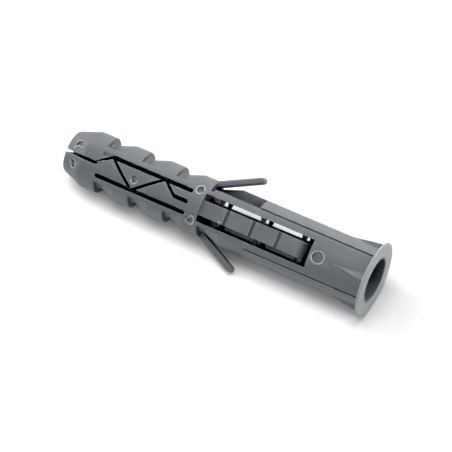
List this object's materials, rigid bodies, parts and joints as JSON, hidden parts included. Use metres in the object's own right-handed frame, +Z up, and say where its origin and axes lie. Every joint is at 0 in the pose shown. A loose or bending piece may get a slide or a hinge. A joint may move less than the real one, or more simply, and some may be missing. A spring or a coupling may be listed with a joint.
{
  "type": "expansion plug",
  "caption": "Nylon expansion plug for a drilled wall hole: collared sleeve with windows and tongues, spreading wings, and a barbed split nose with a zigzag slit.",
  "frame": {"origin": "centre of the mouth of the screw hole, on the plug's axis", "axes": "+X along the plug out of its mouth, within 2 degrees, so the nose points to -X; +Z up as the plug lies on its collar, its first barb and one wing"},
  "size_m": [0.0668, 0.0162, 0.0152],
  "materials": {
    "nylon": "moulded, satin grey"
  },
  "bodies": {
    "root": {"plug": "nylon"}
  },
  "joints": []
}
